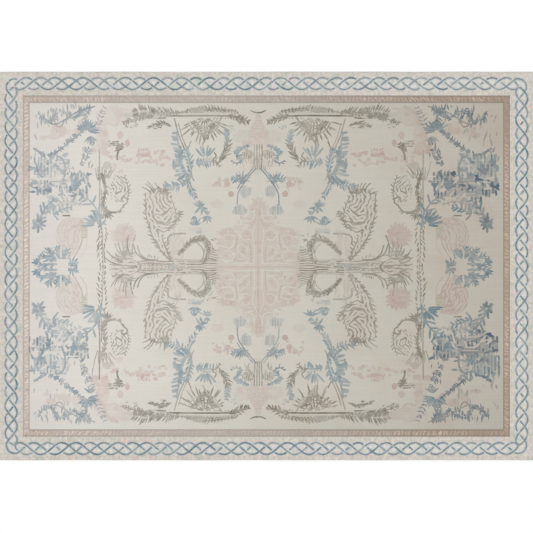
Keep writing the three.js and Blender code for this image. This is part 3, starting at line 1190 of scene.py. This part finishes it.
class Finish:
    """Adds nodes to one material, and joins them."""

    def __init__(self, name):
        self.material = bpy.data.materials.new(name)
        self.material.use_nodes = True
        self.tree = self.material.node_tree
        self.shader = self.tree.nodes["Principled BSDF"]
        self.place = self.add("ShaderNodeTexCoord").outputs["Object"]

    def add(self, kind, inputs=(), **settings):
        """A node with its settings, and its inputs given as values or as other nodes' outputs."""
        node = self.tree.nodes.new(kind)
        for name, value in settings.items():
            setattr(node, name, value)
        for socket, value in dict(inputs).items():
            if isinstance(value, bpy.types.NodeSocket):
                self.tree.links.new(value, node.inputs[socket])
            else:
                node.inputs[socket].default_value = value
        return node

    def math(self, operation, *values):
        """One step of arithmetic on numbers."""
        return self.add("ShaderNodeMath", enumerate(values), operation=operation).outputs[0]

    def vector(self, operation, inputs):
        """One step of arithmetic on places or colours."""
        return self.add("ShaderNodeVectorMath", inputs, operation=operation).outputs[0]

    def toned(self, colour, tone):
        """A colour made darker or lighter."""
        return self.vector("SCALE", {0: colour, "Scale": tone})

    def noise(self, per_metre, detail=2.0, roughness=0.5, offset=0.0):
        """Noise that is stretched by a scale for each of x, y and z."""
        moved = self.vector("ADD", {0: self.place, 1: (offset, offset * 0.7, 0)})
        scaled = self.vector("MULTIPLY", {0: moved, 1: per_metre})
        inputs = {"Vector": scaled, "Scale": 1.0, "Detail": detail, "Roughness": roughness}
        return self.add("ShaderNodeTexNoise", inputs).outputs["Fac"]

    def range(self, value, low, high, to_low=0.0, to_high=1.0):
        """A value that runs between two others as the given one does, and stops at both."""
        inputs = {"Value": value, "From Min": low, "From Max": high, "To Min": to_low, "To Max": to_high}
        return self.add("ShaderNodeMapRange", inputs).outputs["Result"]

    def ramp(self, value, stops):
        """A colour that runs through stops of a place from 0 to 1 and a screen colour."""
        node = self.add("ShaderNodeValToRGB", {"Fac": value})
        elements = node.color_ramp.elements
        while len(elements) < len(stops):
            elements.new(0.5)
        for element, (at, colour) in zip(elements, stops):
            element.position = at
            element.color = linear(colour)
        return node.outputs["Color"]

    def mix(self, share, a, b, blend="MIX"):
        """Two colours, mixed by a share from 0 to 1."""
        node = self.add("ShaderNodeMix", data_type="RGBA", blend_type=blend)
        for socket, value in ((0, share), (6, a), (7, b)):
            if isinstance(value, bpy.types.NodeSocket):
                self.tree.links.new(value, node.inputs[socket])
            else:
                node.inputs[socket].default_value = value
        return node.outputs[2]


def linear(colour):
    """A colour as seen on a screen, 0 to 255, as the light that it stands for."""
    shares = [c / 255 for c in colour]
    return tuple(s / 12.92 if s <= 0.04045 else ((s + 0.055) / 1.055) ** 2.4 for s in shares) + (1.0,)


BEAD_PITCH = 0.0235
RIB_PITCH = 0.0036


def wool_finish():
    """Faded wool: a ground that changes over the rug, with painted shade towards its right side and ends,
    times the tint of each yarn, with ribs and slubs.
    """
    f = Finish("wool")
    x, y, _ = f.add("ShaderNodeSeparateXYZ", {0: f.place}).outputs
    white = (1, 1, 1, 1)
    share_x = f.range(x, -HALF_LENGTH, HALF_LENGTH)

    # How far in a place lies: below 0 is the outer border, 0 to 1 the guard band, above 1 the field.
    from_side = f.math("SUBTRACT", HALF_LENGTH - GUARD_INSET, f.math("ABSOLUTE", x))
    from_end = f.math("SUBTRACT", HALF_WIDTH - GUARD_INSET, f.math("ABSOLUTE", y))
    across_side = f.math("DIVIDE", from_side, GUARD_WIDE_SIDES)
    across_end = f.math("DIVIDE", from_end, GUARD_WIDE_ENDS)
    across = f.math("MINIMUM", across_side, across_end)
    on_side = f.math("LESS_THAN", across_side, across_end)
    off_side = f.math("SUBTRACT", 1.0, on_side)
    along = f.math("ADD", f.math("MULTIPLY", on_side, y), f.math("MULTIPLY", off_side, x))

    # The field's ground colour, with painted shade that darkens it from the left to the right, and far_shade
    # and near_shade paint shade towards both ends.
    cloud = f.noise((1.6, 1.6, 1), 3.0, 0.55, 4.0)
    shade_across = f.math("ADD", share_x, f.range(cloud, 0.3, 0.7, -0.03, 0.03))
    field = f.ramp(shade_across, (
        (0.00, (210, 206, 201)),
        (0.17, (216, 212, 204)),
        (0.42, (204, 200, 190)),
        (0.68, (191, 187, 176)),
        (1.00, (177, 171, 160)),
    ))
    far_shade = f.range(y, 0.70, 1.00, 1.0, 0.965)
    near_shade = f.range(y, -0.98, -0.74, 0.955, 1.0)
    field = f.toned(field, f.math("MINIMUM", far_shade, near_shade))

    bleed = f.range(f.noise((3.4, 3.0, 1), 3.0, 0.6, 12.0), 0.46, 0.64)
    bleed = f.math("MULTIPLY", bleed, f.range(share_x, 0.35, 0.85, 0.3, 1.0))
    field = f.mix(bleed, field, f.mix(1.0, field, (0.985, 0.93, 0.915, 1), "MULTIPLY"))

    # The border is mottled with faded colours, and cooler where the braid's blue has bled.
    border = f.ramp(f.noise((15, 18, 1), 3.0, 0.6, 9.0), (
        (0.30, (182, 188, 181)),
        (0.42, (198, 193, 182)),
        (0.50, (206, 199, 188)),
        (0.57, (197, 195, 191)),
        (0.68, (214, 191, 181)),
    ))
    from_edge = f.math("ADD", f.math("MINIMUM", from_side, from_end), GUARD_INSET)
    off_braid = f.math("ABSOLUTE", f.math("SUBTRACT", from_edge, BRAID_INSET))
    bled = f.range(off_braid, 0.030, 0.048, 1.0, 0.0)
    border = f.mix(bled, border, f.mix(1.0, border, (1.05, 1.09, 1.125, 1), "MULTIPLY"))
    speck = f.range(f.noise((60, 42, 1), 3.0, 0.7, 8.0), 0.3, 0.7, 0.82, 1.15)
    low_edge = f.range(y, 0.02 - HALF_WIDTH, 0.05 - HALF_WIDTH, 0.955, 1.0)
    border_tone = f.math("MULTIPLY", speck, low_edge)
    border = f.toned(border, border_tone)

    # The guard is browner at the right, in its corners and along the ends of the rug; its darkening towards
    # the right is painted shade, as in the field.
    guard_sides = f.ramp(share_x, ((0.0, (200, 187, 178)), (0.5, (184, 169, 157)), (1.0, (165, 147, 133))))
    guard_ends = f.ramp(share_x, (
        (0.00, (176, 160, 149)),
        (0.12, (185, 173, 164)),
        (0.38, (184, 174, 166)),
        (0.52, (176, 166, 157)),
        (0.66, (167, 154, 144)),
        (0.80, (158, 143, 130)),
        (1.00, (158, 140, 126)),
    ))
    corner = f.range(f.math("ABSOLUTE", y), 0.55, 1.07, 1.0, 0.90)
    guard = f.mix(on_side, guard_ends, f.toned(guard_sides, corner))
    kink = f.range(f.noise((34, 34, 1), 2.0, 0.5, 3.0), 0.3, 0.7, -3.0, 3.0)
    slant = f.math("ADD", f.math("SINE", f.math("MULTIPLY", across, 2 * math.pi)), kink)
    bead = f.math("SINE", f.math("ADD", f.math("MULTIPLY", along, 2 * math.pi / BEAD_PITCH), slant))
    belt = f.math("SINE", f.math("MULTIPLY", across, math.pi))
    beads = f.math("MULTIPLY", f.range(bead, -0.3, 0.6), f.range(belt, 0.45, 0.8))
    rims = f.range(belt, 0.15, 0.55, 1.0, 0.0)
    faint = f.range(f.noise((5, 5, 1), 2.0, 0.6, 6.0), 0.35, 0.65, 0.15, 1.0)
    off_middle = f.range(f.math("ABSOLUTE", f.math("SUBTRACT", share_x, 0.42)), 0.12, 0.34, 0.35, 1.0)
    off_left = f.range(share_x, 0.0, 0.1, 0.45, 1.0)
    strength = f.math("MULTIPLY", f.math("MULTIPLY", faint, off_middle), off_left)
    marks = f.math("SUBTRACT", f.math("MULTIPLY", beads, f.math("MULTIPLY", strength, 0.60)), 0.08)
    guard_tone = f.math("SUBTRACT", f.math("ADD", marks, 1.0), f.math("MULTIPLY", rims, 0.20))
    guard_tone = f.math("MULTIPLY", guard_tone, f.math("ADD", f.math("MULTIPLY", speck, 0.6), 0.4))
    ground = f.mix(f.range(across, -0.06, 0.06), border, f.toned(guard, guard_tone))
    ground = f.mix(f.range(across, 0.95, 1.05), ground, field)

    # Dye is worn away in patches and along single picks.
    yarn = f.add("ShaderNodeAttribute", attribute_name="yarn")
    patches = f.noise((14, 22, 1), 3.0, 0.6, 2.0)
    picks = f.noise((9, 150, 1), 3.0, 0.6, 7.0)
    wear = f.math("ADD", f.range(patches, 0.3, 0.7, 0.66, 1.08), f.range(picks, 0.35, 0.65, -0.16, 0.16))
    wear = f.math("MINIMUM", f.math("MAXIMUM", wear, 0.25), 1.0)
    tint = f.mix(wear, white, yarn.outputs["Color"])
    dyed = f.mix(1.0, ground, tint, "MULTIPLY")

    # Streaks of uneven wool along the weft, and the mix of fibres in each yarn.
    streak = f.noise((4, 100, 1), 3.0, 0.65, 1.0)
    warp = f.noise((70, 6, 1), 3.0, 0.65, 14.0)
    fibre = f.noise((180, 420, 1), 2.0, 0.6, 3.0)
    streaks = f.range(streak, 0.3, 0.7, -0.03, 0.03)
    uneven = f.math("ADD", streaks, f.range(warp, 0.3, 0.7, -0.012, 0.012))
    tone = f.math("ADD", uneven, f.range(fibre, 0.3, 0.7, -0.045, 0.045))
    lit = f.toned(dyed, f.math("ADD", tone, 1.0))
    f.tree.links.new(lit, f.shader.inputs["Base Color"])

    # Ribs of weft, slubs and loose fibres.
    ribs = f.math("SINE", f.math("MULTIPLY", y, 2 * math.pi / RIB_PITCH))
    slub = f.noise((40, 300, 1), 2.0, 0.5, 5.0)
    loose = f.math("ADD", slub, f.math("MULTIPLY", fibre, 0.7))
    height = f.math("ADD", f.math("MULTIPLY", ribs, 0.35), loose)
    bump = f.add("ShaderNodeBump", {"Strength": 0.6, "Distance": 0.0006, "Height": height})
    f.tree.links.new(bump.outputs["Normal"], f.shader.inputs["Normal"])
    wool = {"Roughness": 0.93, "Specular IOR Level": 0.15, "Sheen Weight": 0.12, "Sheen Roughness": 0.6}
    for name, value in wool.items():
        f.shader.inputs[name].default_value = value
    return f.material


# Floor, light and camera.

FLOOR_HALF = 14.0
FLOOR_BELOW = 0.0005
SKY_STRENGTH = 0.72
SUN_STRENGTH = 1.35
SUN_SPREAD = 35
SUN_TILT = (28, -22, 0)


def studio_floor():
    """A plain white floor just under the rug."""
    corners = [(x * FLOOR_HALF, y * FLOOR_HALF, 0) for x, y in ((-1, -1), (1, -1), (1, 1), (-1, 1))]
    data = bpy.data.meshes.new("studio_floor")
    data.from_pydata(corners, [], [(0, 1, 2, 3)])
    floor = bpy.data.objects.new("studio_floor", data)
    floor.location.z = -FLOOR_BELOW
    bpy.context.collection.objects.link(floor)
    paint = bpy.data.materials.new("studio_paint")
    paint.use_nodes = True
    shader = paint.node_tree.nodes["Principled BSDF"]
    shader.inputs["Base Color"].default_value = (0.94, 0.94, 0.94, 1)
    shader.inputs["Roughness"].default_value = 0.9
    data.materials.append(paint)


def studio_light():
    """An even white sky, and one broad soft lamp from the upper left."""
    world = bpy.data.worlds.new("studio_world")
    world.use_nodes = True
    sky = world.node_tree.nodes["Background"]
    sky.inputs["Color"].default_value = (1, 1, 1, 1)
    sky.inputs["Strength"].default_value = SKY_STRENGTH
    bpy.context.scene.world = world
    lamp = bpy.data.lights.new("key", "SUN")
    lamp.energy = SUN_STRENGTH
    lamp.angle = math.radians(SUN_SPREAD)
    key = bpy.data.objects.new("key", lamp)
    key.rotation_euler = [math.radians(turn) for turn in SUN_TILT]
    bpy.context.collection.objects.link(key)
    bpy.context.scene.view_settings.view_transform = "Standard"


# The photograph's side, the rug's width in it and the rug's middle in it, in pixels.
PHOTO_SIDE = 533
PHOTO_RUG_WIDTH = 388.7
PHOTO_MIDDLE_X = 266.45
PHOTO_MIDDLE_Y = 266.1
LENS = 85
SENSOR = 36


def photo_camera():
    """Straight above the rug, so far away that the view is almost flat, with the photograph's framing."""
    data = bpy.data.cameras.new("photo_view")
    data.lens = LENS
    data.sensor_width = SENSOR
    seen = PHOTO_SIDE * 2 * HALF_WIDTH / PHOTO_RUG_WIDTH
    camera = bpy.data.objects.new("photo_view", data)
    offset_x = (PHOTO_SIDE / 2 - PHOTO_MIDDLE_X) * seen / PHOTO_SIDE
    offset_y = (PHOTO_MIDDLE_Y - PHOTO_SIDE / 2) * seen / PHOTO_SIDE
    camera.location = (offset_x, offset_y, THICKNESS + seen * LENS / SENSOR)
    bpy.context.collection.objects.link(camera)
    bpy.context.scene.camera = camera


photo_camera()
studio_light()
studio_floor()

loom = Loom()
weave_seams(loom)
weave_braid(loom)
for quarter in QUARTERS:
    weave_quarter(loom, *quarter)
weave_middle(loom)
rug = rug_object(loom)
rug.data.materials.append(wool_finish())

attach(rug, "root")
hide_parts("rug")
